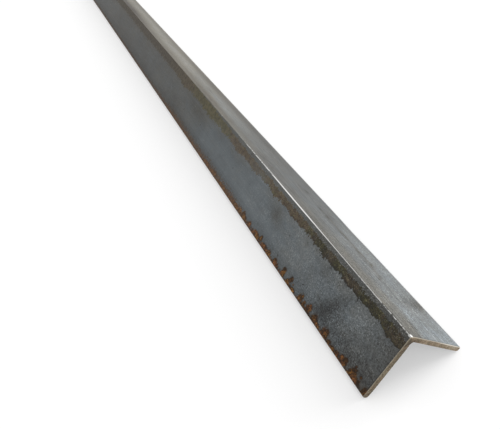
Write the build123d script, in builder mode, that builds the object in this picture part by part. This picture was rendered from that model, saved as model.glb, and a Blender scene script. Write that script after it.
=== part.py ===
"""Hot-rolled equal angle, 1-1/2 x 1-1/2 x 1/8 in, one 3 ft stock length.

The bar lies heel up with both toes on the floor. It runs along Y, the floor is Z = 0 and the
origin is midway between the toes, halfway along the bar. All sizes are in millimetres.
"""

from build123d import *
import math
import os

# Rolled section
leg_width = 38.1  # outer face of one leg, heel to toe
thickness = 3.175  # both legs
heel_radius = 0.8  # outer corner where the legs meet
root_radius = 1.5  # fillet in the inner corner
toe_radius = 1.4  # inner corner of each toe, rolled round
toe_edge_radius = 0.8  # outer corner of each toe, rolled tighter

# Stock length
length = 914.4  # between the sawn ends
end_chamfer = 0.15  # saw burr rubbed off all round each end

# Each toe's two roundings share the toe's width and leave a narrow flat between them.
toe_flat = 0.2
inner_toe_radius = min(toe_radius, thickness - toe_edge_radius - toe_flat)

# The rounded inner corner of each toe touches the floor, and each leg climbs at 45 degrees to
# the heel. The height is that of the sharp heel corner, before its rounding.
leg_slope = math.sqrt(0.5)
toe_rise = inner_toe_radius * (math.sqrt(2) - 1)
heel_height = (leg_width + thickness) * leg_slope - toe_rise

# Sketch plane at the first end: local X runs down one leg, local Y down the other.
section_plane = Plane(
    origin=(0, -length / 2, heel_height),
    x_dir=(1, 0, -1),
    z_dir=(0, 1, 0),
)

with BuildPart() as angle_section:
    # Section, from the heel at the local origin
    with BuildSketch(section_plane) as section:
        with BuildLine():
            Polyline(
                (0, 0),
                (leg_width, 0),
                (leg_width, thickness),
                (thickness, thickness),
                (thickness, leg_width),
                (0, leg_width),
                close=True,
            )
        make_face()

        # Each sharp corner is picked by its place in the section and rolled to its own radius.
        rolled_corners = {
            (0, 0): heel_radius,
            (thickness, thickness): root_radius,
            (leg_width, thickness): inner_toe_radius,
            (thickness, leg_width): inner_toe_radius,
            (leg_width, 0): toe_edge_radius,
            (0, leg_width): toe_edge_radius,
        }
        for corner, radius in rolled_corners.items():
            fillet(section.vertices().sort_by_distance(corner)[0], radius)

    # Rolled length
    extrude(amount=length)

    # Sawn ends, with their edges broken
    sawn_ends = angle_section.faces().filter_by(Axis.Y)
    chamfer(sawn_ends.edges(), end_chamfer)

angle_section.part.label = "angle_section"

os.makedirs("parts", exist_ok=True)
export_step(angle_section.part, "parts/angle_section.step")
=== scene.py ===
import math
import random

import bmesh
import bpy
import numpy as np
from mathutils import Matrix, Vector, noise
from mathutils.geometry import delaunay_2d_cdt


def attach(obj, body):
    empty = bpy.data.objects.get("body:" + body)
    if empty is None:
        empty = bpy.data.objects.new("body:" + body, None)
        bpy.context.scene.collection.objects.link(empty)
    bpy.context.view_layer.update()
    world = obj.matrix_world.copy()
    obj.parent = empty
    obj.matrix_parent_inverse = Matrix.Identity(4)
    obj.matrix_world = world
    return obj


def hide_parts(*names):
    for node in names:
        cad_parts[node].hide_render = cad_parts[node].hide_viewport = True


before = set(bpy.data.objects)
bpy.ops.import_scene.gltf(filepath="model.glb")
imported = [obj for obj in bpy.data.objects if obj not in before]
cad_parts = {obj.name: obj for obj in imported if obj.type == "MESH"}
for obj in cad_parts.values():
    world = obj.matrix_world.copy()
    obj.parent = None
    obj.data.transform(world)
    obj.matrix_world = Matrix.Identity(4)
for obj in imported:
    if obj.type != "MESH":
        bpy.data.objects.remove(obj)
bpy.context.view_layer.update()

# A hot-rolled steel angle, lying heel up. Section places are (u, v): u runs down the outside of the
# right leg from the heel and v down the left. q runs along the bar from the near sawn end.
# Sizes here are millimetres, as in the CAD, and MM turns them into Blender's metres.
MM = 0.001
DIAG = math.sqrt(0.5)

LEG = 38.1
WALL = 3.175
LENGTH = 914.4
HEEL_R = 0.8
ROOT_R = 1.5
TOE_R = 1.4  # a toe's inner corner, which the bar rests on
TOE_EDGE_R = 0.8  # a toe's outer corner
END_BREAK = 0.15
HEEL_Z = (LEG + WALL) * DIAG - TOE_R * (math.sqrt(2) - 1)
NEAR_Y = -LENGTH / 2

# Relief left by rolling, rust and knocks.
SKIN = 0.6  # a place no deeper than this in the section is on an outside face
ROLL_WAVE = 0.035
PIT_DEPTH = 0.05
SCAB_HEIGHT = 0.09
LEAST_NICK = 0.004
NICK_REACH = 2.4  # u + v at which the nicks in the heel run out
TOE_WEAR = 0.06  # by how much the toes fall short of the full leg
TOE_REACH = 3
DENT_AT, DENT_HALF, DENT_DEPTH = 98, 13, 0.7  # in the right toe
# Towards the near end the right leg thins and the left one thickens by a few tenths of a millimetre, inside.
NEAR_REACH = 45
RIGHT_THINNER = 0.42
LEFT_THICKER = 0.24

# Saw marks on the ends: spacing and margins of the points that carry them, and the marks themselves.
SAW_STEP = 0.33
SAW_MARGIN = 0.45
SAW_TOE_MARGIN = 1.2
SAW_DEPTH = 0.035
SAW_GAP = 0.45
SAW_RUN = 30

# The bake map, in its pixels: the outside and then the inside in strips, each a third of the bar long,
# and above them the four leg ends.
MAP_SIZE = 1024
MAP_GAP = 3.5
OUTSIDE_STRIP = 225
INSIDE_STRIP = 98
END_SCALE = 6.0
END_SLOT = 240
END_MARGIN_LONG, END_MARGIN_SHORT = 0.5, 0.3

SHARP_ANGLE = 35  # degrees between two faces


# ------------------------------------------------------------------ section outline and stations
def stops(start, end, zones):
    """Places from start up to but not including end. Each zone is (share of the way where it ends, step)."""
    places, done = [], 0.0
    reach = abs(end - start)
    for share, step in zones:
        span = share * reach - done
        count = max(1, round(span / step))
        places += [done + span * i / count for i in range(count)]
        done = share * reach
    way = 1 if end > start else -1
    return [start + way * x for x in places]


def arc(centre, radius, start, end, count, hollow=False):
    """Points and outward normals round part of a circle, without the last point."""
    found = []
    for i in range(count):
        a = math.radians(start + (end - start) * i / count)
        out = np.array((math.cos(a), math.sin(a)))
        found.append((np.array(centre) + radius * out, -out if hollow else out))
    return found


def flat(places, fixed, at, normal):
    """Points and outward normals along a straight face on which u or v stays at one value."""
    return [(np.array((at, x) if fixed == "u" else (x, at)), np.array(normal, float)) for x in places]


def outline():
    """The section from the left toe over the heel to the right toe and back along the inside.
    Also where in it the inside starts."""
    toe = LEG - TOE_R
    edge = LEG - TOE_EDGE_R
    rounded = WALL - TOE_R
    inside = WALL + ROOT_R
    left_zones = [(0.012, 0.3), (0.2, 0.5), (0.76, 1.3), (0.988, 0.55), (1, 0.3)]
    right_zones = [(0.012, 0.3), (0.08, 0.7), (0.97, 1.5), (1, 0.4)]
    hidden_zones = [(0.01, 0.4), (0.98, 1.75), (1, 0.4)]
    path = arc((rounded, toe), TOE_R, 0, 90, 5)
    path += flat(stops(rounded, TOE_EDGE_R, [(1, 0.5)]), "v", LEG, (0, 1))
    path += arc((TOE_EDGE_R, edge), TOE_EDGE_R, 90, 180, 4)
    path += flat(stops(edge, HEEL_R, left_zones), "u", 0, (-1, 0))
    path += arc((HEEL_R, HEEL_R), HEEL_R, 180, 270, 6)
    path += flat(stops(HEEL_R, edge, right_zones), "v", 0, (0, -1))
    path += arc((edge, TOE_EDGE_R), TOE_EDGE_R, -90, 0, 4)
    path += flat(stops(TOE_EDGE_R, rounded, [(1, 0.5)]), "u", LEG, (1, 0))
    path += arc((toe, rounded), TOE_R, 0, 90, 5)
    turn = len(path)
    path += flat(stops(toe, inside, hidden_zones), "v", WALL, (0, 1))
    path += arc((inside, inside), ROOT_R, 270, 180, 5, hollow=True)
    path += flat(stops(inside, toe, hidden_zones), "u", WALL, (1, 0))
    return path, turn


path, inside_start = outline()
ring = np.array([p for p, _ in path])
ring_normal = np.array([n for _, n in path])
columns = len(ring)

clear = END_BREAK + 0.25
stations = [END_BREAK]
stations += stops(clear, LENGTH - clear, [(0.055, 0.65), (0.18, 0.95), (0.45, 1.5), (0.985, 2.3), (1, 0.8)])
stations += [LENGTH - clear, LENGTH - END_BREAK]
stations = np.array(stations)
rows = len(stations)


# ------------------------------------------------------------------ where the bar is rusted, stained and worn
# Rust clumps on the outside of the left toe: place along the bar, height of the middle above the toe,
# half length, half height.
RUST_CLUMPS = [
    (0.7, 1.6, 2.8, 3.5), (7.0, 5.3, 1.0, 0.9), (8.0, 1.3, 2.8, 2.7), (12.4, 2.4, 2.9, 3.9),
    (12.5, 6.6, 0.5, 1.1), (20.8, 1.9, 3.3, 3.4), (19.5, 4.0, 1.6, 1.5), (22.6, 3.4, 1.5, 1.4),
    (26.4, 1.2, 2.6, 2.3), (30.5, 0.9, 2.4, 2.0), (34.5, 1.1, 1.8, 2.2), (40.2, 2.1, 3.3, 4.0),
    (39.2, 4.2, 2.0, 1.9), (47.2, 1.1, 2.7, 2.1), (51.3, 2.1, 2.8, 3.4), (58.6, 2.5, 2.5, 3.7),
    (57.5, 4.4, 1.5, 1.6), (62.1, 0.9, 1.6, 1.6), (63.9, 1.8, 1.2, 2.6), (68, 2.4, 2.3, 3.6),
    (67, 4.5, 1.2, 1.4), (76.6, 0.8, 2.8, 1.9), (78.2, 3.8, 0.7, 0.6), (81.8, 4.8, 1.7, 2.3),
    (83.7, 1.4, 2.5, 2.4), (90.9, 2.6, 2.3, 3.9), (91.2, 5.4, 1.5, 1.4), (100.4, 1.2, 3.8, 2.5),
    (102.5, 2.8, 2.0, 2.2), (111, 2.2, 2.2, 2.7), (117.8, 1.8, 5.5, 2.3), (124.9, 3.8, 1.7, 2.3),
    (131.6, 2.2, 5.5, 2.6), (143.4, 2.6, 2.2, 2.7), (151.2, 1.8, 2.6, 2.4), (154.7, 3.2, 2.2, 2.8),
    (160.6, 2.6, 3.0, 2.2), (169, 1.6, 8, 2.6), (194, 1.6, 12, 2.4), (216, 2.2, 7, 2.2), (232, 1.8, 9, 2.4),
]

# How far the rust reaches up the left toe between the clumps, at places along the bar.
RUST_STRIP = (
    (0, 1.6), (4, 1.8), (6, 2.0), (16, 1.4), (18, 1.8), (36, 2.2), (45, 1.4), (48, 2.1), (56, 1.5), (62, 2.3),
    (72, 1.3), (78, 2.0), (89, 1.3), (92, 2.0), (97, 1.4), (100, 2.6), (109, 1.5), (114, 3.0), (142, 2.6),
    (165, 4.2), (185, 4.6), (205, 4.3), (230, 4.6), (270, 4.0), (330, 4.2), (370, 3.0), (450, 2.4),
    (900, 2.6),
)

# The stain below the heel: how far down the left leg it starts and ends, and its hue, 0 olive to 1 brown,
# at places along the bar.
STAIN_TOP = (
    (0, 3.0), (5, 2.6), (16, 2.6), (20, 3.1), (200, 2.8), (240, 1.8), (280, 0.5), (310, 0.0), (350, -0.8),
    (900, -0.8),
)

STAIN_FOOT = (
    (0, 8.7), (12.8, 9.0), (16.7, 7.5), (25.6, 7.7), (31.5, 8.4), (35.5, 7.5), (40.4, 8.1), (44.3, 7.5),
    (48.3, 9.1), (53.2, 7.3), (59.1, 8.0), (62.1, 9.5), (66, 7.7), (70.9, 9.4), (75.8, 7.3), (95.5, 7.6),
    (111.3, 8.3), (125, 6.9), (135.9, 9.0), (147.8, 7.5), (160, 7.2), (173, 9.0), (188, 7.4), (205, 8.8),
    (218, 7.4), (245, 7.4), (262, 8.4), (315, 6.9), (338, 9.4), (370, 7.4), (900, 7.2),
)

STAIN_HUE = (
    (0, 0.6), (7.9, 0.65), (13.8, 0.35), (17.7, 0.6), (21.7, 0.05), (24.6, 0.15), (27.1, 0.8), (29.6, 0.1),
    (37.4, 0.1), (41.4, 0.85), (49.2, 0.85), (53.2, 0.3), (56.1, 0.1), (63, 0.15), (66, 0.8), (70.9, 0.85),
    (74.9, 0.1), (80.8, 0.15), (83.7, 0.7), (88.7, 0.7), (90.6, 0.2), (93.6, 0.2), (96.5, 0.8), (128.1, 0.7),
    (142.8, 0.55), (167.4, 0.7), (206.8, 0.9), (236.4, 0.1), (295.5, 0.0), (325.1, 0.6), (900, 0.3),
)

# Darker clouds in the mill scale, paler where the strength is below 0: leg (-1 left, 1 right),
# place along, place down the leg, half sizes, lean, strength.
CLOUDS = [
    # left leg
    (-1, 2.9, 24, 7, 14, 0, 0.25), (-1, 11.8, 30, 12, 6, 0, 0.35), (-1, 29, 28.5, 12, 5, 0, 0.6),
    (-1, 45.2, 21, 4.5, 9, 0.5, 1.2), (-1, 49.1, 29, 6.5, 5, 0, 0.9), (-1, 57, 29, 4, 5, 0, 0.3),
    (-1, 64.8, 14, 4, 4, 0.4, 0.4), (-1, 25.5, 13, 8, 4.5, 0.4, -0.55), (-1, 32.4, 19, 7, 5, 0, -0.3),
    (-1, 44.2, 12, 4, 3, 0.5, -0.3), (-1, 78.6, 16, 14, 8, 0, -0.25), (-1, 123.7, 16, 8, 5, -0.3, 0.95),
    (-1, 133.6, 14, 7, 4, 0, 0.3), (-1, 196.4, 12, 22, 5, 0, 0.4), (-1, 284.8, 14, 26, 6, 0, 0.6),
    (-1, 250.4, 22, 24, 8, 0, -0.2), (-1, 338.8, 26, 20, 6, 0, 0.2), (-1, 589.2, 28, 60, 8, 0, 0.35),
    (-1, 47, 26, 7, 8, 0.3, 0.35), (-1, 38, 22, 4, 4, 0, 0.35), (-1, 72, 23, 9, 5, 0, 0.3),
    (-1, 35.3, 9.1, 0.9, 0.6, 0.3, 1.9), (-1, 62.4, 9.6, 1.2, 0.8, 0.8, 1.6),
    (-1, 87.5, 10.8, 1.0, 0.7, 0, 1.4), (-1, 77.9, 9.3, 0.9, 0.6, 0, 1.0),
    (-1, 102.7, 31.5, 1.0, 0.7, 0, 0.9), (-1, 110, 31.4, 1.0, 0.7, 0, 0.9),
    (-1, 114.6, 31.6, 0.9, 0.7, 0, 0.8), (-1, 17, 31.7, 0.7, 0.6, 0, 1.3), (-1, 7.2, 32.3, 1.2, 0.8, 0, 1.0),
    (-1, 48.4, 8.2, 1.5, 0.8, 0, 1.0), (-1, 48.4, 6.3, 1.9, 0.45, 0, -1.5),
    (-1, 46.5, 7.3, 0.5, 0.8, 0, -1.2), (-1, 50.4, 7.2, 0.5, 0.8, 0, -1.2),
    # right leg
    (1, 28.5, 32, 4.6, 7, 0.25, 1.5), (1, 28, 24, 2, 2.6, 0, 0.5), (1, 33, 26.5, 1.8, 1.8, 0, 0.7),
    (1, 30, 18, 5, 6, 0, 0.35), (1, 3, 7, 5, 4, 0, 0.3), (1, 32.4, 27, 2, 2, 0, 0.4),
    (1, 12.8, 24, 1.2, 2, 0.3, 0.7), (1, 16.3, 24, 1.1, 1.8, 0.3, 0.8), (1, 6.9, 20, 1.2, 1.5, 0.3, 0.4),
    (1, 48.1, 20, 1.3, 3.5, 0.8, 0.8), (1, 60.4, 23, 1.2, 3, 0.5, 0.8), (1, 72.7, 21.4, 2.5, 1.4, 1.2, 1.0),
    (1, 86.4, 22, 26, 1.5, 0, 0.75), (1, 109, 22, 2.6, 1.8, 0.6, 0.9), (1, 117.8, 22.5, 6, 2.2, 0, 0.4),
    (1, 141.9, 25.5, 3, 1.8, 0, 1.0), (1, 151.2, 23.5, 6, 1.3, 2.0, 0.7), (1, 81.5, 10, 3, 1.6, 1.0, 0.6),
    (1, 98.2, 3, 16, 2.4, 0, 0.5), (1, 73.7, 28, 22, 4, 0, -0.5), (1, 225.9, 31, 50, 5, 0, 0.7),
    (1, 353.5, 31, 90, 5, 0, 0.9), (1, 275, 17, 36, 7, 0, -0.5), (1, 422.3, 18, 90, 8, 0, -0.6),
    (1, 294.6, 4, 60, 4, 0, 0.5), (1, 608.8, 4, 75, 11, 0, 1.8), (1, 589.2, 22, 80, 8, 0, -0.4),
]


def wavy(points, size, seed, along=1.0):
    """Smooth noise from -1 to 1 at points (u, v, q), with features of about size, drawn out along the bar."""
    shift = seed * 17.3
    moved = ((u / size + shift, v / size - shift, q / size / along) for u, v, q in points)
    return np.array([noise.noise(place) for place in moved])


def rise(x, start, span):
    """0 up to start, then straight up to 1 over span. A span below 0 runs the other way."""
    return np.clip((x - start) / span, 0, 1)


def rust_field(u, v, q):
    """Above 0 inside a rust clump and below 0 outside it."""
    on_left = v > u
    from_toe = LEG - np.maximum(u, v)
    inside = np.minimum(u, v) > SKIN
    # The right leg and the insides only rust within about a millimetre of the toe
    field = 0.6 * (1 - from_toe / np.interp(q, *zip(*RUST_STRIP)))
    field = np.where(on_left & ~inside, field, 0.5 * (0.7 - from_toe) - 0.5 * (~inside & ~on_left))
    for place, middle, half, height in RUST_CLUMPS:
        slant = 0.15 * (from_toe - middle)
        blob = 1 - ((q - place + slant) / half) ** 2 - ((from_toe - middle) / height) ** 2
        field = np.where(on_left & ~inside, np.maximum(field, blob), field)
    return np.clip(field, -1, 1)


def cloud_field(u, v, q):
    """Sum of the CLOUDS on the outside faces."""
    on_left = v > u
    down = np.maximum(u, v)
    field = np.zeros(len(u))
    for leg, along, at_down, half_along, half_down, lean, strength in CLOUDS:
        same = on_left if leg < 0 else ~on_left
        a = (q - along - lean * (down - at_down)) / half_along
        b = (down - at_down) / half_down
        field += same * strength * np.exp(-(a * a + b * b))
    return field * (np.minimum(u, v) < SKIN)


# Nicks along the heel: place, depth, half length. The first is the knocked near corner.
rng = random.Random(11)
nicks = [(0.0, 0.34, 1.1)]
at = 2.5
while at < LENGTH:
    shallow = rng.random() < 0.8
    depth = rng.uniform(0.04, 0.16) if shallow else rng.uniform(0.16, 0.3)
    nicks.append((at, depth, rng.uniform(0.3, 1.1)))
    at += rng.uniform(1.2, 6.0)


# ------------------------------------------------------------------ the bar's mesh
sweep_u = np.tile(ring[:, 0], rows)
sweep_v = np.tile(ring[:, 1], rows)
sweep_q = np.repeat(stations, columns)
sweep_normal = np.tile(ring_normal, (rows, 1))
points = list(zip(sweep_u, sweep_v, sweep_q))

rust = rust_field(sweep_u, sweep_v, sweep_q)
down = np.maximum(sweep_u, sweep_v)
near_heel = np.clip(1 - (sweep_u + sweep_v) / NICK_REACH, 0, 1)
near_toe = np.clip(1 - (LEG - down) / TOE_REACH, 0, 1)

roll_wave = -ROLL_WAVE * (0.6 + 0.4 * wavy(points, 24, 1, along=2.2))
pits = -PIT_DEPTH * np.clip(wavy(points, 2.6, 2) - 0.35, 0, 1) * 1.6
scabs = SCAB_HEIGHT * np.clip(rust + 0.2, 0, 1) * (0.35 + 0.65 * np.clip(wavy(points, 1.5, 3) + 0.3, 0, 1))
lift = roll_wave + pits + scabs * rise(down, LEG - 0.9, -0.9)
lift = lift * rise(np.minimum(sweep_q, LENGTH - sweep_q), 0, 1.5)
nick = np.full(len(points), LEAST_NICK)
for place, depth, half in nicks:
    nick = np.maximum(nick, depth * np.exp(-(((sweep_q - place) / half) ** 2)))
dent = DENT_DEPTH * np.exp(-(((sweep_q - DENT_AT) / DENT_HALF) ** 2)) * (sweep_u > sweep_v)
draw_in = -(TOE_WEAR * (1 + 0.8 * wavy(points, 14, 4)) + dent) * near_toe
near = np.exp(-((sweep_q / NEAR_REACH) ** 2)) * (sweep_q < LENGTH / 2)
inner_right = rise(sweep_v, 1, WALL - 1) * rise(sweep_u, 2.2, 1.6) * rise(sweep_v, 4.7, -1.3)
inner_left = rise(sweep_u, 1, WALL - 1) * rise(sweep_v, 4.5, 3) * rise(sweep_v, 35.5, -2)
inner_left *= rise(sweep_u, 4.7, -1.3)
thin, thick = RIGHT_THINNER * near * inner_right, LEFT_THICKER * near * inner_left
heel_cut = nick * near_heel * DIAG
u = sweep_u + sweep_normal[:, 0] * lift + heel_cut + np.where(sweep_u > sweep_v, draw_in, 0) + thick
v = sweep_v + sweep_normal[:, 1] * lift + heel_cut + np.where(sweep_v >= sweep_u, draw_in, 0) - thin

verts_uvq = list(zip(u, v, sweep_q))
# What each face belongs to: its kind, row and column
faces, face_kind = [], []
for r in range(rows - 1):
    for c in range(columns):
        a, b = r * columns + c, r * columns + (c + 1) % columns
        faces.append((a, b, b + columns, a + columns))
        face_kind.append(("side", r, c))


def sawn_points():
    """Places (u, v) across an end, a saw step apart and clear of its rim."""
    fill = []
    across = [SAW_MARGIN + SAW_STEP * k for k in range(int((WALL - 2 * SAW_MARGIN) / SAW_STEP) + 1)]
    for i in range(int((LEG - SAW_TOE_MARGIN) / SAW_STEP)):
        down_leg = SAW_MARGIN + SAW_STEP * i
        for depth in across:
            by_corner = down_leg > LEG - 1.5 and depth > WALL - 1.5
            if by_corner and down_leg + depth > LEG + WALL - 2.0:
                continue
            fill.append((down_leg, depth))
            if down_leg > across[-1] + SAW_STEP / 2:
                fill.append((depth, down_leg))
    return fill


def add_end(face_q, ring_row, inward):
    """Closes one sawn end: a broken edge all round, then a face of small triangles with saw marks."""
    first_ring = ring_row * columns
    rim = np.array(verts_uvq[first_ring:first_ring + columns])[:, :2] - ring_normal * END_BREAK
    flat_points = [Vector(p) for p in rim] + [Vector(p) for p in sawn_points()]
    found, _, triangles, source, _, _ = delaunay_2d_cdt(flat_points, [], [list(range(columns))], 1, 1e-5)
    first = len(verts_uvq)
    new_place = {}
    for i, p in enumerate(found):
        for original in source[i]:
            new_place[original] = first + i
        groove = 0.5 + 0.5 * noise.noise(((p[0] + p[1]) * DIAG / SAW_GAP, (p[0] - p[1]) / SAW_RUN, 3.3))
        on_rim = any(original < columns for original in source[i])
        verts_uvq.append((p[0], p[1], face_q + inward * (0 if on_rim else SAW_DEPTH * groove)))
    for t in triangles:
        faces.append(tuple(first + i for i in t))
        face_kind.append(("end", ring_row, 0))
    for c in range(columns):
        d = (c + 1) % columns
        faces.append((first_ring + c, first_ring + d, new_place[d], new_place[c]))
        face_kind.append(("edge", ring_row, c))


add_end(0.0, 0, 1)
add_end(LENGTH, rows - 1, -1)

uvq = np.array(verts_uvq)
places = np.empty((len(uvq), 3))
places[:, 0] = (uvq[:, 0] - uvq[:, 1]) * DIAG
places[:, 1] = NEAR_Y + uvq[:, 2]
places[:, 2] = HEEL_Z - (uvq[:, 0] + uvq[:, 1]) * DIAG
mesh = bpy.data.meshes.new("steel_angle")
mesh.from_pydata((places * MM).tolist(), [], faces)
for name, field in (("rust", rust_field), ("cloud", cloud_field)):
    layer = mesh.attributes.new(name, "FLOAT", "POINT")
    layer.data.foreach_set("value", field(uvq[:, 0], uvq[:, 1], uvq[:, 2]).astype(np.float32))

shell = bmesh.new()
shell.from_mesh(mesh)
bmesh.ops.recalc_face_normals(shell, faces=shell.faces)
shell.to_mesh(mesh)
shell.free()
mesh.polygons.foreach_set("use_smooth", [True] * len(mesh.polygons))
mesh.set_sharp_from_angle(angle=math.radians(SHARP_ANGLE))
mesh.polygons.foreach_set("material_index", [0 if kind == "side" else 1 for kind, _, _ in face_kind])


# ------------------------------------------------------------------ the bake map
def lay_out():
    """Where the strips go: each column's place round the section, the strips, pixels to a millimetre along
    the bar, and the foot of the leg ends. A strip is (columns from, to, rows from, to, foot, scale)."""
    steps = np.linalg.norm(np.diff(ring, axis=0, append=ring[:1]), axis=1)
    across = np.concatenate([[0], np.cumsum(steps)])
    cuts = [0] + [int(np.argmin(abs(stations - LENGTH * k / 3))) for k in (1, 2)] + [rows - 1]
    longest = max(stations[b] - stations[a] for a, b in zip(cuts, cuts[1:]))
    strips = []
    foot = MAP_GAP / 2
    for first, last, height in ((0, inside_start, OUTSIDE_STRIP), (inside_start, columns, INSIDE_STRIP)):
        for a, b in zip(cuts, cuts[1:]):
            strips.append((first, last, a, b, foot, height / (across[last] - across[first])))
            foot += height + MAP_GAP
    return across, strips, (MAP_SIZE - MAP_GAP) / longest, foot


across, strips, along_scale, end_foot = lay_out()
corners = mesh.uv_layers.new(name="OFBake").data
centres = np.empty(len(mesh.polygons) * 3)
mesh.polygons.foreach_get("center", centres)
centres = centres.reshape(-1, 3)
for polygon, (kind, row, column) in zip(mesh.polygons, face_kind):
    if kind == "side":
        strip = next(s for s in strips if s[0] <= column < s[1] and s[2] <= row < s[3])
        first, _, first_row, _, foot, scale = strip
        for loop in polygon.loop_indices:
            at_row, at_column = divmod(mesh.loops[loop].vertex_index, columns)
            where = across[column] if at_column == column else across[column + 1]
            x = MAP_GAP / 2 + (stations[at_row] - stations[first_row]) * along_scale
            corners[loop].uv = (x / MAP_SIZE, (foot + (where - across[first]) * scale) / MAP_SIZE)
    else:
        on_left = centres[polygon.index][0] < 0
        slot = (0 if row == 0 else 2) + (0 if on_left else 1)
        for loop in polygon.loop_indices:
            place_u, place_v, _ = verts_uvq[mesh.loops[loop].vertex_index]
            long, short = (place_v, place_u) if on_left else (place_u, place_v)
            x = MAP_GAP / 2 + slot * END_SLOT + (long + END_MARGIN_LONG) * END_SCALE
            y = end_foot + (short + END_MARGIN_SHORT) * END_SCALE
            corners[loop].uv = (x / MAP_SIZE, y / MAP_SIZE)

bar = bpy.data.objects.new("steel_angle", mesh)
bpy.context.collection.objects.link(bar)
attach(bar, "root")
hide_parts("angle_section")


# ------------------------------------------------------------------ materials
SPECULAR = 0.3
HIDDEN_LEVEL = 88.0  # grey level of the faces inside the angle


def tone(r, g, b):
    """A colour as it looks on screen, 0 to 255, as Blender's linear colour."""
    def linear(x):
        x /= 255
        return x / 12.92 if x <= 0.04045 else ((x + 0.055) / 1.055) ** 2.4
    return (linear(r), linear(g), linear(b), 1.0)


class Nodes:
    """Short calls that add nodes to one material. Every input may be a socket or a plain value."""

    def __init__(self, name):
        self.material = bpy.data.materials.new(name)
        self.material.use_nodes = True
        self.tree = self.material.node_tree
        self.shader = self.tree.nodes["Principled BSDF"]

    def add(self, kind, inputs=(), **settings):
        node = self.tree.nodes.new("ShaderNode" + kind)
        for key, value in settings.items():
            setattr(node, key, value)
        for key, value in dict(inputs).items():
            self.feed(node.inputs[key], value)
        return node

    def feed(self, socket, value):
        if isinstance(value, bpy.types.NodeSocket):
            self.tree.links.new(value, socket)
        else:
            socket.default_value = value

    def math(self, operation, *values):
        return self.add("Math", dict(enumerate(values)), operation=operation).outputs[0]

    def plus(self, *values):
        total = values[0]
        for value in values[1:]:
            total = self.math("ADD", total, value)
        return total

    def times(self, *values):
        total = values[0]
        for value in values[1:]:
            total = self.math("MULTIPLY", total, value)
        return total

    def swing(self, value, amount):
        """Noise round 0.5 as a swing of amount from end to end, round 0."""
        return self.times(self.math("SUBTRACT", value, 0.5), amount)

    def ramp(self, value, low, high, to_low=0.0, to_high=1.0):
        """value from low to high, eased and held at both ends. low may be above high."""
        inputs = {"Value": value, "From Min": low, "From Max": high, "To Min": to_low, "To Max": to_high}
        return self.add("MapRange", inputs, interpolation_type="SMOOTHSTEP").outputs[0]

    def mix(self, share, a, b):
        """Colour a to colour b as share goes from 0 to 1."""
        node = self.add("Mix", data_type="RGBA")
        for socket, value in zip((node.inputs[0], node.inputs[6], node.inputs[7]), (share, a, b)):
            self.feed(socket, value)
        return node.outputs[2]

    def blend(self, share, a, b):
        """Number a to number b as share goes from 0 to 1."""
        return self.add("Mix", {0: share, 2: a, 3: b}, data_type="FLOAT").outputs[0]

    def colours(self, value, *marks):
        """A colour scale: marks are (place, colour)."""
        node = self.add("ValToRGB", {"Fac": value})
        scale = node.color_ramp.elements
        while len(scale) < len(marks):
            scale.new(0.5)
        for element, (place, colour) in zip(scale, marks):
            element.position = place
            element.color = colour
        return node.outputs[0]

    def along(self, *marks):
        """A number that changes along the bar: marks are (millimetres from the near end, value)."""
        low = min(value for _, value in marks)
        reach = max(value for _, value in marks) - low
        shades = [(place / LENGTH, ((value - low) / reach,) * 3 + (1,)) for place, value in marks]
        return self.plus(self.times(self.colours(self.share, *shades), reach), low)

    def shifted(self, along, seed):
        """Place in millimetres, drawn out along the bar and moved to its own patch of noise."""
        drawn = self.stretched(1, 1 / along, 1)
        return self.add("VectorMath", {0: drawn, 1: (seed, seed, seed)}, operation="ADD").outputs[0]

    def stretched(self, x, y, z):
        """Place in millimetres, times a number on each axis."""
        return self.add("VectorMath", {0: self.place, 1: (x, y, z)}, operation="MULTIPLY").outputs[0]

    def noise(self, size, along=1.0, detail=2.0, rough=0.5, seed=0.0):
        """Cloudy noise, 0 to 1 round 0.5, with features of about size millimetres."""
        return self.clouds(self.shifted(along, seed), 1 / size, detail, rough)

    def clouds(self, place, scale, detail, rough):
        """Noise at a place that is already drawn out."""
        inputs = {"Vector": place, "Scale": scale, "Detail": detail, "Roughness": rough}
        return self.add("TexNoise", inputs).outputs["Fac"]

    def beads(self, size, seed):
        """Distance from the nearest of many scattered points, in units of size."""
        inputs = {"Vector": self.shifted(1.0, seed), "Scale": 1 / size}
        return self.add("TexVoronoi", inputs).outputs["Distance"]

    def locate(self):
        """Works out the section places u and v, and q along the bar, in millimetres."""
        coords = self.add("TexCoord").outputs["Object"]
        self.place = self.add("VectorMath", {0: coords, "Scale": 1 / MM}, operation="SCALE").outputs[0]
        xyz = self.add("SeparateXYZ", {0: self.place}).outputs
        drop = self.math("SUBTRACT", HEEL_Z, xyz[2])
        self.u = self.times(self.plus(drop, xyz[0]), DIAG)
        self.v = self.times(self.math("SUBTRACT", drop, xyz[0]), DIAG)
        self.q = self.math("SUBTRACT", xyz[1], NEAR_Y)
        self.share = self.times(self.q, 1 / LENGTH)
        self.left = self.math("GREATER_THAN", self.v, self.u)
        self.right = self.math("SUBTRACT", 1.0, self.left)
        self.down = self.math("MAXIMUM", self.u, self.v)
        self.depth = self.math("MINIMUM", self.u, self.v)

    def attribute(self, name):
        return self.add("Attribute", attribute_name=name, attribute_type="GEOMETRY").outputs["Fac"]

    def finish(self, colour, roughness, metal, height):
        """Joins everything to the shader, with height in millimetres as bump, and returns the material."""
        bump = self.add("Bump", {"Height": height, "Distance": MM, "Strength": 1.0})
        inputs = self.shader.inputs
        self.feed(inputs["Base Color"], colour)
        self.feed(inputs["Roughness"], roughness)
        self.feed(inputs["Metallic"], metal)
        self.feed(inputs["Normal"], bump.outputs[0])
        inputs["Specular IOR Level"].default_value = SPECULAR
        return self.material


# ------------------------------------------------------------------ the layers of the rolled faces
# A layer takes the grey level or the colour below it and gives it back with its own marks on it. What a
# later layer needs stays on n.


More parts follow.
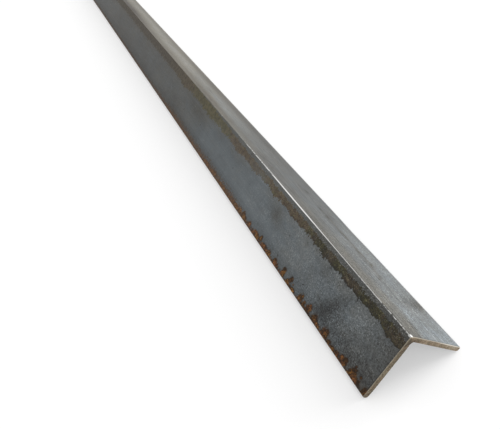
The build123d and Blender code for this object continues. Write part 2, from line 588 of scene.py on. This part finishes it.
def shared_marks(n):
    """Noises and masks that several layers use."""
    n.rust_map = n.attribute("rust")
    n.cloud_map = n.attribute("cloud")
    n.outside = n.ramp(n.depth, 0.9, 1.4, 1.0, 0.0)
    n.on_left = n.times(n.left, n.outside)
    n.mottle = n.noise(6.0, along=1.4, detail=4, rough=0.6, seed=8)
    n.blotch = n.noise(2.2, detail=3, rough=0.65, seed=12)
    n.grain = n.noise(0.85, detail=2, rough=0.7, seed=1)
    n.zone = n.noise(11, detail=2, seed=21)
    n.flecks = n.noise(0.6, along=1.3, detail=2, rough=0.6, seed=5)
    n.drag = n.noise(0.8, along=30, detail=3, rough=0.65, seed=13)
    n.stain_beads = n.beads(1.3, seed=40)
    n.stain_grain = n.noise(0.75, detail=2, rough=0.7, seed=50)
    n.granules = n.beads(0.95, seed=60)
    n.crumble = n.noise(1.7, detail=4, rough=0.75, seed=64)


def scale_level(n):
    """Mill scale as one grey level, 0 to 255: slow clouds, mottling, blotches and crystals."""
    clouds = n.noise(24, along=2.2, detail=3, rough=0.55, seed=3)
    left_level = n.along(
        (0, 73), (12, 79), (34, 88), (60, 94), (72, 93), (85, 99), (130, 99), (150, 103), (165, 102),
        (180, 99), (200, 96), (229, 89), (305, 79), (500, 68), (900, 70),
    )
    right_level = n.along(
        (0, 107), (12, 105.5), (34, 93), (76, 87.5), (100, 82), (130, 76.5), (160, 73), (180, 74),
        (200, 77), (229, 81), (305, 83), (381, 90), (900, 92),
    )
    near_grain = n.along((0, 0.65), (16, 0.95), (50, 0.95), (76, 0.75), (114, 0.45), (171, 0.22), (900, 0.18))
    by_left_toe = n.along((0, -7), (60, -8), (100, -15), (250, -13), (400, -10), (900, -10))
    return n.plus(
        n.blend(n.outside, HIDDEN_LEVEL, n.blend(n.right, left_level, right_level)),
        n.swing(clouds, 22),
        n.swing(n.mottle, 32),
        n.times(n.swing(n.blotch, 50), near_grain),
        n.times(n.swing(n.grain, 126), near_grain, n.ramp(n.zone, 0.3, 0.6, 0.65, 1.15)),
        n.times(n.cloud_map, -23),
        n.times(n.on_left, n.ramp(n.down, 26, 33), by_left_toe),
    )


def add_flecks(n, level):
    """Crystals and fine chips that catch the light, thickest near the sawn end, and a few dark pin spots."""
    share = n.along((0, 0.0), (14, 0.03), (50, 0.03), (90, -0.01), (230, -0.05), (900, -0.05))
    n.fleck = n.ramp(n.plus(n.flecks, n.swing(n.zone, 0.16), share), 0.61, 0.72)
    level = n.plus(level, n.times(n.fleck, 38))
    spots = n.ramp(n.beads(7.5, seed=90), 0.05, 0.1, 1.0, 0.0)
    in_patches = n.ramp(n.noise(9, seed=93), 0.5, 0.56)
    return n.plus(level, n.times(n.times(spots, in_patches), -34))


def add_drag_lines(n, level):
    """Drag lines from the rolls, strongest on the right leg."""
    rubs = n.noise(1.1, along=9, detail=3, rough=0.7, seed=17)
    share = n.along((0, 1.1), (60, 1.0), (200, 0.6), (900, 0.6))
    calm = n.ramp(n.down, 22, 27, 1.1, n.along((0, 1.0), (30, 0.75), (60, 0.6), (900, 0.6)))
    scratch = n.times(n.ramp(rubs, 0.38, 0.3), n.ramp(n.noise(5, along=3, detail=2, seed=115), 0.46, 0.6))
    return n.plus(
        level,
        n.times(n.swing(n.drag, 80), n.blend(n.right, 0.3, n.times(share, calm))),
        n.times(n.swing(rubs, 66), n.right, share, calm),
        n.times(scratch, n.right, -34),
    )


def right_leg_tone_and_sheen(n, level):
    """The right leg is paler away from the heel near the sawn end. Far from it, its middle is paler than both
    edges:
    a painted broad highlight. Beside the heel it brightens, partly where the heel is rubbed and partly as a
    painted spread of the heel's highlight."""
    from_heel = n.ramp(n.plus(n.down, n.swing(n.mottle, 8)), 6, 15)
    middle = n.times(n.ramp(n.down, 2, 13), n.ramp(n.down, 36, 24))
    paler = n.along((0, 1.0), (20, 0.9), (60, 0.6), (85, 0.5), (110, 0.2), (900, 0.0))
    # Painted highlight: far from the sawn end the middle of the leg is made paler and both edges duller.
    sheen_stripe = n.along((0, 0.0), (150, 0.0), (230, 0.5), (340, 1.1), (500, 1.6), (900, 1.6))
    by_heel = n.along((0, 0), (130, 0), (171, 5), (305, 4), (500, 0), (900, 0))
    by_toe = n.along((0, 0), (40, 0), (80, 6), (114, 6), (150, 1), (200, 3), (305, 5), (381, 7), (900, 7))
    # Partly rubbed metal beside the heel, partly a painted spread of the heel's highlight, palest about 115
    # to 160 mm from the near end.
    rub_and_sheen_reach = n.along((0, 1.2), (100, 1.6), (130, 2.6), (180, 4.4), (225, 5.6), (260, 6.0), (900, 6.0))
    rub_and_sheen_gain = n.along(
        (0, 2), (60, 2), (80, 5), (100, 14), (115, 19), (160, 19), (200, 14), (225, 12), (260, 8), (300, 4),
        (900, 4),
    )
    return n.plus(
        level,
        n.times(n.right, paler, n.plus(from_heel, -0.5), 22),
        n.times(n.right, sheen_stripe, n.plus(middle, -0.6), 12),
        n.times(n.right, n.ramp(n.down, 8, 3), by_heel),
        n.times(n.right, n.ramp(n.down, 27, 33), by_toe),
        n.times(n.right, n.ramp(n.down, rub_and_sheen_reach, 0.4), rub_and_sheen_gain),
    )


def seam_line(n):
    """Thin seam rolled into the right leg."""
    place = n.along(
        (0, 17), (44, 17), (50, 20), (58, 21.5), (61.5, 24.2), (63.5, 22.6), (92, 22.6), (103, 23.2),
        (125, 22.5), (900, 22.5),
    )
    share = n.along(
        (0, 0), (43, 0), (46, 0.5), (58, 0.5), (61, 0.9), (66, 0.5), (78, 0.9), (92, 0.9), (103, 0.7),
        (112, 0.4), (130, 0), (900, 0),
    )
    away = n.math("ABSOLUTE", n.plus(n.down, n.swing(n.mottle, 1.5), n.times(place, -1.0)))
    return n.times(n.ramp(away, 1.2, 0.3), share, n.right, n.outside)


def scale_colour(n, level, seam):
    """The grey level as cool blue-grey or warm brown-grey scale."""
    share = n.times(level, 1 / 255)
    cool = n.colours(
        share,
        (0.0, tone(0, 0, 0)), (0.2, tone(50, 52, 53)), (0.4, tone(98, 104, 107)), (0.6, tone(148, 156, 161)),
        (1.0, tone(250, 253, 255)),
    )
    warm = n.colours(
        share,
        (0.0, tone(0, 0, 0)), (0.2, tone(56, 50, 42)), (0.4, tone(106, 102, 92)), (0.6, tone(158, 153, 142)),
        (1.0, tone(255, 250, 240)),
    )
    clouds = n.noise(16, along=2, detail=3, rough=0.6, seed=31)
    by_heel = n.ramp(n.plus(n.down, n.swing(clouds, 18)), 14, 5)
    left_warmth = n.along(
        (0, 0.35), (12, 0.28), (25, 0.16), (100, 0.12), (125, 0.02), (145, -0.03), (215, -0.02), (250, 0.08),
        (280, 0.2), (310, 0.3), (350, 0.36), (900, 0.42),
    )
    left_toe = n.along((0, 0.0), (60, -0.05), (100, -0.16), (250, -0.1), (300, 0.0), (900, 0.0))
    right_warmth = n.along(
        (0, 0.12), (60, 0.25), (110, 0.3), (145, 0.3), (230, 0.42), (400, 0.9), (900, 0.95),
    )
    right_heel = n.along(
        (0, 0.55), (50, 0.5), (110, 0.25), (145, 0.2), (230, 0.35), (280, 0.5), (350, 0.5), (450, 0.3),
        (900, 0.3),
    )
    in_clouds = n.blend(n.right, n.along((0, 0.0), (90, 0.0), (120, 0.35), (900, 0.35)), 0.2)
    warmth = n.plus(
        n.times(n.left, left_warmth),
        n.times(n.left, n.ramp(n.down, 26, 32), left_toe),
        n.times(n.left, n.ramp(n.down, 16, 9), n.along((0, 0.05), (100, 0.15), (900, 0.15))),
        n.times(n.left, n.ramp(n.down, 5, 3), n.along((0, 0.0), (100, 0.1), (150, 0.25), (900, 0.25))),
        n.times(n.right, right_warmth),
        n.times(n.right, by_heel, right_heel),
        n.times(n.cloud_map, in_clouds),
        n.swing(clouds, 0.6),
        n.swing(n.noise(5, along=1.5, detail=2, seed=118), 0.5),
        n.times(seam, 0.4),
    )
    return n.mix(n.math("MAXIMUM", n.math("MINIMUM", warmth, 1.0), 0.0), cool, warm)


def stain_colours(n, value):
    """The stain's colour: olive or plum near the sawn end, moss or tan further on, earth at the far end."""
    olive = n.colours(
        value,
        (0.0, tone(24, 22, 12)), (0.35, tone(45, 42, 24)), (0.6, tone(64, 60, 36)), (0.85, tone(90, 86, 60)),
        (1.0, tone(136, 130, 104)),
    )
    plum = n.colours(
        value,
        (0.0, tone(30, 24, 17)), (0.35, tone(52, 44, 32)), (0.6, tone(73, 64, 48)), (0.85, tone(98, 88, 70)),
        (1.0, tone(140, 131, 116)),
    )
    moss = n.colours(
        value,
        (0.0, tone(57, 52, 33)), (0.4, tone(85, 79, 54)), (0.7, tone(100, 93, 67)), (1.0, tone(118, 111, 85)),
    )
    tan = n.colours(
        value,
        (0.0, tone(57, 45, 32)), (0.4, tone(89, 76, 58)), (0.7, tone(104, 90, 71)), (1.0, tone(120, 106, 87)),
    )
    earth = n.colours(
        value,
        (0.0, tone(50, 44, 35)), (0.4, tone(72, 65, 54)), (0.7, tone(83, 76, 64)), (1.0, tone(97, 90, 77)),
    )
    hue = n.plus(n.along(*STAIN_HUE), n.swing(n.noise(3.0, detail=2, rough=0.6, seed=59), 1.6))
    hue = n.ramp(hue, 0.25, 0.75)
    far = n.along((0, 0.0), (75, 0.0), (100, 0.6), (140, 1.0), (900, 1.0))
    colour = n.mix(far, n.mix(hue, olive, plum), n.mix(hue, moss, tan))
    return n.mix(n.along((0, 0.0), (270, 0.0), (400, 1.0), (900, 1.0)), colour, earth)


def add_stain(n, surface):
    """Brown stain on the left leg below the heel: beads that run together, with loose ones at its border."""
    wander = n.plus(
        n.swing(n.noise(6, detail=2, seed=44), 2.2),
        n.swing(n.noise(1.8, detail=2, rough=0.6, seed=47), 3.4),
        n.swing(n.noise(0.7, detail=1, seed=48), 1.2),
        n.times(n.stain_beads, 0.9),
    )
    upper = n.plus(n.down, wander, n.times(n.along(*STAIN_TOP), -1.0))
    lower = n.plus(n.down, wander, n.times(n.along(*STAIN_FOOT), -1.0))
    soft = n.along((0, 0.0), (70, 0.1), (110, 0.4), (150, 1.1), (200, 1.9), (260, 2.5), (900, 3.0))
    band = n.times(
        n.ramp(upper, n.plus(0.3, n.times(soft, -0.7)), n.plus(1.2, n.times(soft, 0.4))),
        n.ramp(lower, n.plus(1.5, soft), n.times(soft, -0.6)),
    )
    fringe = n.times(n.ramp(n.down, 12, 8), n.ramp(n.noise(3.5, seed=57), 0.52, 0.62), 0.42)
    stained = n.plus(band, fringe, n.times(n.ramp(n.stain_beads, 0.5, 0.15), 0.38))
    share = n.along(
        (0, 1.0), (110, 0.95), (145, 0.9), (160, 0.65), (176, 0.7), (190, 0.9), (212, 0.8), (235, 0.8),
        (260, 0.9), (900, 0.95),
    )
    n.stain = n.times(n.on_left, n.ramp(stained, 0.55, 0.9), share)
    beaded = n.plus(n.times(n.ramp(n.stain_beads, 0.1, 0.6), 0.28), -0.14, n.swing(n.stain_grain, 1.7))
    value = n.plus(
        n.times(beaded, n.along((0, 1.0), (100, 0.9), (170, 0.55), (260, 0.35), (900, 0.3))),
        n.swing(n.noise(3.2, detail=2, seed=53), 1.0),
        n.times(n.cloud_map, -0.3),
        0.28,
        n.times(n.ramp(lower, -1.4, 0.8), n.along((0, -0.22), (120, -0.15), (180, 0.05), (900, 0.05))),
    )
    # Between the stain and the heel the scale is dark and chipped
    fade = n.along((0, 1.0), (80, 0.9), (140, 0.65), (200, 0.6), (900, 0.5))
    shade = n.times(n.on_left, n.ramp(n.down, 6.0, 3.0), fade)
    surface = n.mix(n.times(shade, 0.55), surface, tone(57, 55, 50))
    surface = n.mix(n.stain, surface, stain_colours(n, value))
    chip_share = n.along((0, 0.8), (120, 0.6), (230, 0.15), (900, 0.1))
    chipped = n.ramp(n.plus(n.flecks, n.swing(n.mottle, 0.25)), 0.57, 0.68)
    chips = n.times(n.on_left, n.ramp(n.down, 9.5, 1.5), chipped, chip_share)
    return n.mix(n.times(chips, 0.55), surface, tone(150, 149, 144))


def add_end_line(n, surface):
    """Dark line where the faces meet the near end."""
    line = n.ramp(n.plus(n.q, n.swing(n.mottle, 1.2)), 1.3, 0.3)
    line = n.times(line, n.blend(n.right, n.ramp(n.down, 12, 26, 0.15, 0.6), 0.3))
    return n.mix(line, surface, tone(40, 38, 34))


def add_rust(n, surface):
    """Rust clumps at the toes, granular, dark between the grains, smoother along the bar."""
    soft = n.along((0, 0.0), (60, 0.04), (130, 0.12), (230, 0.22), (900, 0.35))
    n.rusty = n.ramp(
        n.plus(n.rust_map, n.swing(n.crumble, 2.6), n.times(n.granules, -0.3)),
        n.plus(-0.32, n.times(soft, -1.2)),
        n.plus(0.12, n.times(soft, 0.6)),
    )
    value = n.plus(
        n.times(n.granules, -0.7),
        n.swing(n.noise(0.6, detail=2, rough=0.7, seed=66), 1.6),
        n.swing(n.noise(2.6, seed=69), 1.9),
        n.times(n.rust_map, 0.35),
        n.along((0, 0.4), (40, 0.46), (80, 0.5), (110, 0.56), (900, 0.56)),
        n.ramp(n.down, 32.2, 34.6, -0.14, 0.0),
    )
    orange = n.colours(
        value,
        (0.05, tone(38, 26, 13)), (0.3, tone(62, 41, 18)), (0.5, tone(86, 57, 24)), (0.72, tone(116, 79, 32)),
        (1.0, tone(160, 116, 54)),
    )
    russet = n.colours(
        value,
        (0.05, tone(38, 26, 17)), (0.3, tone(64, 41, 24)), (0.5, tone(88, 56, 31)), (0.72, tone(114, 72, 39)),
        (1.0, tone(150, 100, 56)),
    )
    smooth = n.colours(value, (0.1, tone(86, 66, 48)), (0.5, tone(101, 75, 53)), (0.9, tone(117, 86, 60)))
    colour = n.mix(n.ramp(n.noise(9, detail=1, seed=72), 0.44, 0.56), orange, russet)
    colour = n.mix(n.along((0, 0.0), (120, 0.15), (180, 0.8), (900, 0.9)), colour, smooth)
    cover = n.along((0, 1.0), (200, 0.95), (330, 0.8), (400, 0.6), (900, 0.5))
    surface = n.mix(n.times(n.rusty, cover), surface, colour)
    halo = n.ramp(n.plus(n.rust_map, n.swing(n.mottle, 1.2)), -0.9, 0.1)
    halo = n.times(halo, n.math("SUBTRACT", 1.0, n.rusty))
    halo_fade = n.along((0, 0.5), (100, 0.4), (150, 0.1), (250, 0.0), (900, 0.0))
    return n.mix(n.times(halo, halo_fade), surface, tone(60, 50, 40))


def add_heel_scuff(n, surface):
    """Scuffed heel: bare steel where the rounding has rubbed, broken by nicks. It is partly a painted
    highlight: where it shows along the bar and how pale it is follow the heel's highlight.
    """
    scuff_noise = n.noise(0.9, along=2.2, detail=3, rough=0.65, seed=80)
    runs = n.noise(16, along=1.5, detail=3, rough=0.6, seed=83)
    # Partly real rubbing and partly a painted highlight: the bare heel shows most from about 80 to 145 mm
    # from the near end.
    rub_and_highlight_share = n.along(
        (0, 0.25), (40, 0.4), (60, 0.6), (80, 1.0), (130, 1.1), (145, 0.7), (152, 0.4), (160, 0.6),
        (180, 0.4), (205, 0.0), (225, -0.3), (300, -0.5), (900, -0.6),
    )
    rub_and_highlight_share = n.plus(rub_and_highlight_share, n.swing(runs, 1.0))
    off_ridge = n.along((0, -0.22), (75, -0.2), (100, -0.12), (130, 0.0), (160, 0.25), (200, 0.5), (900, 0.5))
    lean = n.math("ABSOLUTE", n.plus(n.v, n.times(n.u, -1.0), off_ridge))
    wide = n.along((0, 0.0), (70, 0.0), (90, 0.08), (110, 0.2), (150, 0.24), (210, 0.1), (900, 0.0))
    on_heel = n.times(n.ramp(n.down, 1.1, 0.7), n.ramp(n.plus(lean, n.times(wide, -1.0)), 0.42, 0.2))
    rubbed = n.times(on_heel, n.ramp(n.plus(scuff_noise, n.times(rub_and_highlight_share, 0.35)), 0.5, 0.66))
    by_end = n.ramp(n.plus(n.q, n.times(n.u, 0.3)), 2.1, 1.5)
    corner = n.times(n.ramp(n.plus(n.u, n.times(n.v, 1.5)), 1.9, 1.3), by_end)
    n.scuff = n.math("MAXIMUM", rubbed, corner)
    # Painted highlight: the bare heel is made paler where the heel's highlight is strongest, about 100 to 122
    # mm from the near end.
    painted_highlight = n.along(
        (0, 0.0), (3, 0.05), (8, 0.4), (14, 0.12), (60, 0.1), (84, 0.6), (100, 0.95), (122, 0.95), (135, 0.8),
        (145, 0.68), (160, 0.5), (190, 0.2), (900, 0.0),
    )
    return n.mix(n.scuff, surface, n.mix(painted_highlight, tone(178, 178, 176), tone(230, 230, 228)))


def rolled_steel():
    """Mill scale with grain and clouds, a brown stain below the heel, rust at the toes and a scuffed heel,
    with painted highlights on the heel and the right leg.
    """
    n = Nodes("rolled_steel")
    n.locate()
    shared_marks(n)
    level = right_leg_tone_and_sheen(n, add_drag_lines(n, add_flecks(n, scale_level(n))))
    seam = seam_line(n)
    level = n.plus(level, n.times(seam, -14))
    surface = add_stain(n, scale_colour(n, level, seam))
    surface = add_heel_scuff(n, add_rust(n, add_end_line(n, surface)))

    roughness = n.plus(0.58, n.swing(n.mottle, 0.2), n.times(n.fleck, -0.14))
    roughness = n.blend(n.stain, roughness, 0.68)
    roughness = n.blend(n.rusty, roughness, 0.9)
    roughness = n.blend(n.scuff, roughness, 0.36)
    bare = n.times(n.math("SUBTRACT", 1.0, n.rusty), n.blend(n.stain, 0.3, 0.08))
    metal = n.blend(n.scuff, bare, 0.95)
    stain_relief = n.plus(n.times(n.ramp(n.stain_beads, 0.55, 0.1), 0.1), n.times(n.stain_grain, 0.04))
    rust_relief = n.plus(n.times(n.granules, -0.18), n.times(n.crumble, 0.15), 0.08)
    height = n.plus(
        n.times(n.grain, 0.06),
        n.times(n.blotch, 0.08),
        n.times(n.drag, 0.02),
        n.times(n.stain, stain_relief),
        n.times(n.rusty, rust_relief),
    )
    return n.finish(surface, roughness, metal, height)


def sawn_steel():
    """Saw-cut end, warm grey-brown with fine marks, and a pale worn rim along the outer edges, partly a
    painted highlight.
    """
    n = Nodes("sawn_steel")
    n.locate()
    mottle = n.noise(2.2, detail=3, rough=0.6, seed=100)
    marks = n.clouds(n.stretched(0.06, 1, 2.4), 1.0, detail=3.0, rough=0.65)
    teeth = n.clouds(n.stretched(1.3, 1, 1.3), 1.0, detail=2.0, rough=0.6)
    value = n.plus(
        0.46,
        n.swing(mottle, 0.6),
        n.swing(marks, 0.95),
        n.swing(teeth, 0.85),
        n.times(n.ramp(n.depth, 0.8, 1.8), n.left, -0.08),
        n.times(n.left, -0.02),
        n.times(n.right, n.ramp(n.down, 26, 32), 0.16),
        n.times(n.left, n.ramp(n.down, 26, 31), -0.06),
        n.times(n.left, n.ramp(n.down, 16, 8), -0.1),
        n.times(n.right, n.ramp(n.depth, 1.0, 1.8), n.ramp(n.down, 11, 7), -0.16),
    )
    olive = n.colours(
        value,
        (0.15, tone(74, 65, 49)), (0.45, tone(114, 104, 84)), (0.7, tone(148, 139, 118)),
        (1.0, tone(184, 177, 158)),
    )
    pink = n.colours(
        value,
        (0.15, tone(82, 66, 50)), (0.45, tone(127, 110, 88)), (0.7, tone(158, 145, 126)),
        (1.0, tone(194, 185, 170)),
    )
    pinkness = n.ramp(n.plus(n.noise(2.6, detail=2, seed=109), n.times(n.right, 0.12)), 0.45, 0.65)
    colour = n.mix(pinkness, olive, pink)
    root = n.times(n.ramp(n.plus(n.u, n.v), 8.4, 6.2), n.ramp(n.depth, 0.5, 1.2), n.blend(n.left, 0.35, 1.0))
    colour = n.mix(n.times(root, 0.55), colour, tone(58, 48, 38))

    burr_noise = n.noise(1.0, detail=3, rough=0.65, seed=105)
    runs = n.noise(6, detail=2, seed=112)
    rim = n.ramp(n.plus(n.depth, n.swing(burr_noise, 0.5), n.swing(runs, -0.7)), 0.46, 0.22)
    # Painted highlight: the rim is painted far paler on the right leg, palest towards its toe, than on the
    # left.
    burr_and_highlight = n.times(rim, n.blend(n.left, n.ramp(n.down, 18, 26, 0.45, 1.0), 0.22))
    corner = n.times(n.ramp(n.plus(n.u, n.times(n.v, 2.0)), 2.6, 1.7), n.right, n.ramp(n.v, 1.0, 0.6))
    rim_and_highlight = n.math("MAXIMUM", burr_and_highlight, corner)
    colour = n.mix(rim_and_highlight, colour, tone(208, 202, 188))

    height = n.plus(n.times(marks, 0.06), n.times(teeth, 0.04), n.times(mottle, 0.03))
    return n.finish(colour, n.blend(rim_and_highlight, 0.62, 0.38), n.blend(rim_and_highlight, 0.2, 0.5), height)


mesh.materials.append(rolled_steel())
mesh.materials.append(sawn_steel())


# ------------------------------------------------------------------ floor, light and camera
WHITE = (1, 1, 1, 1)

FLOOR_REACH = 6.0  # metres
FLOOR_DROP = 0.2  # millimetres below the toes
FLOOR_GREY = 0.6
FLOOR_ROUGHNESS = 0.9
FLOOR_GLOW = 0.36

WORLD_STRENGTH = 0.73

# Each light: direction it comes from, how wide it is in degrees, strength.
MAIN_LIGHT = ((0.7, 0.08, 0.34), 40, 2.1)
END_LIGHT = ((0.0, -0.9, 0.5), 60, 0.9)

CAMERA_PLACE = (-0.0858794, -0.586548, 0.2330964)  # metres
CAMERA_TURN = (50.580949, 11.629086, -22.429626)  # degrees
CAMERA_LENS = 39.6854  # millimetres
CAMERA_SENSOR = 36.0


def seen_directly(tree):
    """1 for rays that show the surroundings themselves: to the camera, in a gloss or through glass."""
    path = tree.nodes.new("ShaderNodeLightPath")
    total = path.outputs["Is Camera Ray"]
    for name in ("Is Glossy Ray", "Is Transmission Ray"):
        either = tree.nodes.new("ShaderNodeMath")
        either.operation = "MAXIMUM"
        tree.links.new(total, either.inputs[0])
        tree.links.new(path.outputs[name], either.inputs[1])
        total = either.outputs[0]
    return total


def add_floor():
    """A pale floor. Seen directly it glows a little, which keeps its shadows light."""
    far, z = FLOOR_REACH, -FLOOR_DROP * MM
    mesh = bpy.data.meshes.new("floor")
    mesh.from_pydata([(-far, -far, z), (far, -far, z), (far, far, z), (-far, far, z)], [], [(0, 1, 2, 3)])
    floor = bpy.data.objects.new("floor", mesh)
    bpy.context.collection.objects.link(floor)
    n = Nodes("pale_floor")
    inputs = n.shader.inputs
    inputs["Base Color"].default_value = (FLOOR_GREY, FLOOR_GREY, FLOOR_GREY, 1)
    inputs["Roughness"].default_value = FLOOR_ROUGHNESS
    inputs["Specular IOR Level"].default_value = 0.0
    inputs["Emission Color"].default_value = WHITE
    n.feed(inputs["Emission Strength"], n.times(seen_directly(n.tree), FLOOR_GLOW))
    mesh.materials.append(n.material)


def add_world():
    """White all round, at full strength where it is seen directly."""
    world = bpy.data.worlds.new("studio")
    world.use_nodes = True
    bpy.context.scene.world = world
    tree = world.node_tree
    background = tree.nodes["Background"]
    background.inputs["Color"].default_value = WHITE
    strength = tree.nodes.new("ShaderNodeMix")
    strength.data_type = "FLOAT"
    strength.inputs[2].default_value = WORLD_STRENGTH
    strength.inputs[3].default_value = 1.0
    tree.links.new(seen_directly(tree), strength.inputs[0])
    tree.links.new(strength.outputs[0], background.inputs["Strength"])


def add_sun(name, towards, width, strength):
    """A very soft sun, so the whole length of the bar gets the same light."""
    lamp = bpy.data.lights.new(name, "SUN")
    lamp.angle, lamp.energy = math.radians(width), strength
    holder = bpy.data.objects.new(name, lamp)
    holder.rotation_euler = Vector(towards).to_track_quat("Z", "Y").to_euler()
    bpy.context.collection.objects.link(holder)


def add_camera():
    camera = bpy.data.cameras.new("camera")
    camera.sensor_width = CAMERA_SENSOR
    camera.lens = CAMERA_LENS
    camera.clip_start = 0.01
    holder = bpy.data.objects.new("camera", camera)
    holder.location = CAMERA_PLACE
    holder.rotation_euler = [math.radians(a) for a in CAMERA_TURN]
    bpy.context.collection.objects.link(holder)
    bpy.context.scene.camera = holder


add_floor()
add_world()
add_sun("main_light", *MAIN_LIGHT)
add_sun("end_light", *END_LIGHT)
add_camera()
bpy.context.scene.view_settings.view_transform = "Standard"
